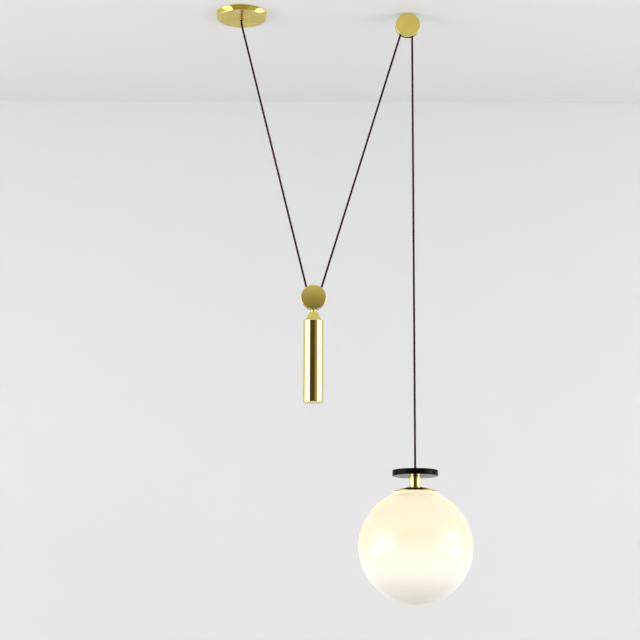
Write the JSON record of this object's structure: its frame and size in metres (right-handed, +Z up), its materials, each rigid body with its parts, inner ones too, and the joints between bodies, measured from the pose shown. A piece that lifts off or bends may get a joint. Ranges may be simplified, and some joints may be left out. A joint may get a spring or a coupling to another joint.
{
  "type": "rise and fall pendant lamp",
  "caption": "Rise and fall pendant lamp: opal glass globe on a braided cord that runs over a ceiling pulley and under a brass cylinder counterweight on its own pulley to a round canopy.",
  "frame": {"origin": "middle of the canopy in the ceiling plane, between the two slots for the ceiling box screws", "axes": "+Z up into the ceiling, +X from the canopy to the ceiling pulley, +Y away from the viewer of the picture"},
  "size_m": [0.631, 0.272, 1.4755],
  "materials": {
    "satin_brass": "fine satin, lacquered",
    "polished_brass": "mirror polished, lacquered",
    "plain_brass": "plain turned",
    "bronze": "sintered",
    "zinc_steel": "zinc plated",
    "spring_steel": "bright rolled",
    "core_steel": "turned bar",
    "black_gloss": "high gloss",
    "silicone": "matte translucent white",
    "opal_glass": "gloss opal",
    "moulded_holder": "moulded",
    "bulb_glass": "frosted",
    "nickel_base": "bright plated",
    "braided_cord": "braided textile"
  },
  "bodies": {
    "ceiling_fixing": {"canopy_shell": "satin_brass", "canopy_crossbar": "zinc_steel", "ground_screw": "zinc_steel", "canopy_tube": "plain_brass", "canopy_tube_nuts": "polished_brass", "canopy_cord_grip": "satin_brass", "canopy_cord_anchor": "zinc_steel", "canopy_cord_tail": "braided_cord", "ceiling_pulley_front_cheek": "satin_brass", "ceiling_pulley_rear_cheek": "satin_brass", "ceiling_pulley_axle": "zinc_steel", "ceiling_pulley_screws": "zinc_steel", "ceiling_pulley_block": "polished_brass", "cord_canopy_run": "braided_cord", "cord_pulley_run": "braided_cord", "cord_over_pulley": "braided_cord", "cord_drop": "braided_cord"},
    "ceiling_sheave": {"ceiling_pulley_sheave": "polished_brass", "ceiling_pulley_bush": "bronze"},
    "counterweight": {"weight_pulley_front_cheek": "satin_brass", "weight_pulley_rear_cheek": "satin_brass", "weight_pulley_axle": "zinc_steel", "weight_pulley_screws": "zinc_steel", "weight_neck": "polished_brass", "weight_cone": "satin_brass", "weight_shell": "polished_brass", "weight_core": "core_steel", "weight_plug": "polished_brass", "cord_under_weight": "braided_cord"},
    "weight_sheave": {"weight_pulley_sheave": "polished_brass", "weight_pulley_bush": "bronze"},
    "lamp": {"disc_nut": "black_gloss", "black_disc": "black_gloss", "lamp_tube": "plain_brass", "stem": "polished_brass", "fitter_cap": "polished_brass", "cap_gasket": "silicone", "spring_carrier": "zinc_steel", "globe_springs": "spring_steel", "spring_screws": "zinc_steel", "globe_shoulder": "opal_glass", "globe_belt": "opal_glass", "globe_bowl": "opal_glass", "lampholder_top": "moulded_holder", "lamp_tube_nut": "polished_brass", "lamp_cord_anchor": "zinc_steel", "lamp_cord_tail": "braided_cord", "lampholder_body": "moulded_holder", "lampholder_shell": "plain_brass", "lampholder_contact": "plain_brass", "bulb_base": "nickel_base", "bulb_glass": "bulb_glass"}
  },
  "joints": [
    {"name": "lamp_travel", "type": "slide", "parent": "ceiling_fixing", "child": "lamp", "axis": [0, 0, 1], "range_m": [-0.45, 0.35], "deforming": ["cord_drop"]},
    {"name": "weight_travel", "type": "slide", "parent": "ceiling_fixing", "child": "counterweight", "axis": [0, 0, 1], "range_m": [-0.19, 0.24], "deforming": ["cord_canopy_run", "cord_pulley_run"]},
    {"name": "ceiling_sheave_spin", "type": "hinge", "parent": "ceiling_fixing", "child": "ceiling_sheave", "pos_m": [0.4205, 0, -0.032], "axis": [0, 1, 0], "range_deg": [-1900, 2400]},
    {"name": "weight_sheave_spin", "type": "hinge", "parent": "counterweight", "child": "weight_sheave", "pos_m": [0.186, 0, -0.735], "axis": [0, 1, 0], "range_deg": [-1250, 1000]}
  ],
  "couplings": [
    {"joint": "weight_travel", "follows": "lamp_travel", "ratio": -0.51849},
    {"joint": "ceiling_sheave_spin", "follows": "lamp_travel", "rad_per_m": -90.909},
    {"joint": "weight_sheave_spin", "follows": "lamp_travel", "rad_per_m": 45.762}
  ]
}
